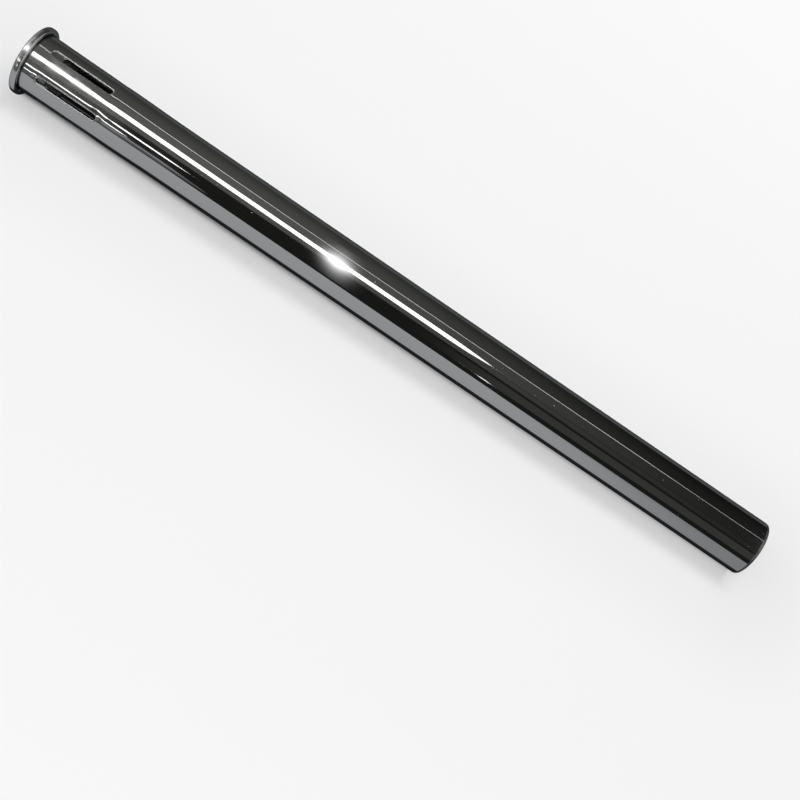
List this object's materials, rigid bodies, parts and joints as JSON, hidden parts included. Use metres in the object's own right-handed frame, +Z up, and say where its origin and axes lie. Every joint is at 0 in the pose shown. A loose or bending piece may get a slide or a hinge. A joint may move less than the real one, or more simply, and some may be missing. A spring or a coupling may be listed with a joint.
{
  "type": "vacuum extension wand",
  "caption": "Straight chromed steel vacuum wand with a rolled flange and a slotted spring-grip socket at one end and a plain end at the other.",
  "frame": {"origin": "on the ground, under the middle of the bounding box, with the wand lying at rest", "axes": "+X from the flanged end to the plain end, +Z up; the tube's axis leans 0.44 degrees down towards +X because the flange is wider than the tube; one slot faces up"},
  "size_m": [0.5002, 0.0426, 0.0426],
  "materials": {
    "chromed_steel": "mirror-polished chrome plate"
  },
  "bodies": {
    "root": {"wand_tube": "chromed_steel"}
  },
  "joints": []
}
